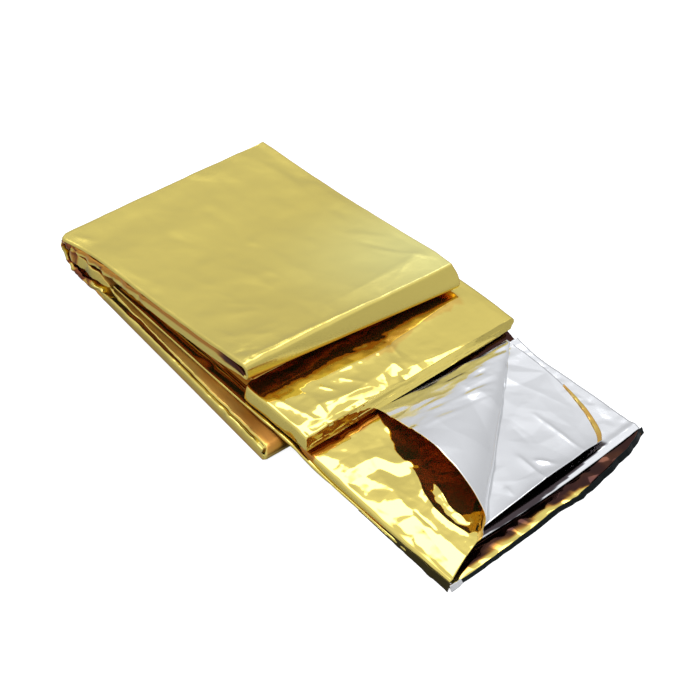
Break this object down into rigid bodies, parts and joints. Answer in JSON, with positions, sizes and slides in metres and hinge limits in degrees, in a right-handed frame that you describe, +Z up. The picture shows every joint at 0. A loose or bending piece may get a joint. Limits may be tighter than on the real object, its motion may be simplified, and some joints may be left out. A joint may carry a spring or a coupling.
{
  "type": "emergency foil blanket",
  "caption": "Gold and silver emergency foil blanket in its folded packet, half opened, with the top page turned back in a dog-ear at the open end.",
  "frame": {"origin": "middle of the packet's footprint, on the surface that it lies on", "axes": "+X across the folded strip, -Y towards the open end with the dog-ear, +Z up"},
  "size_m": [0.1168, 0.2308, 0.0257],
  "materials": {
    "gold_film": "mirror-like gold side of the metallised film, crinkled",
    "silver_film": "mirror-like silver side of the metallised film, crinkled"
  },
  "bodies": {
    "root": {"foil_blanket": "gold_film"}
  },
  "joints": []
}
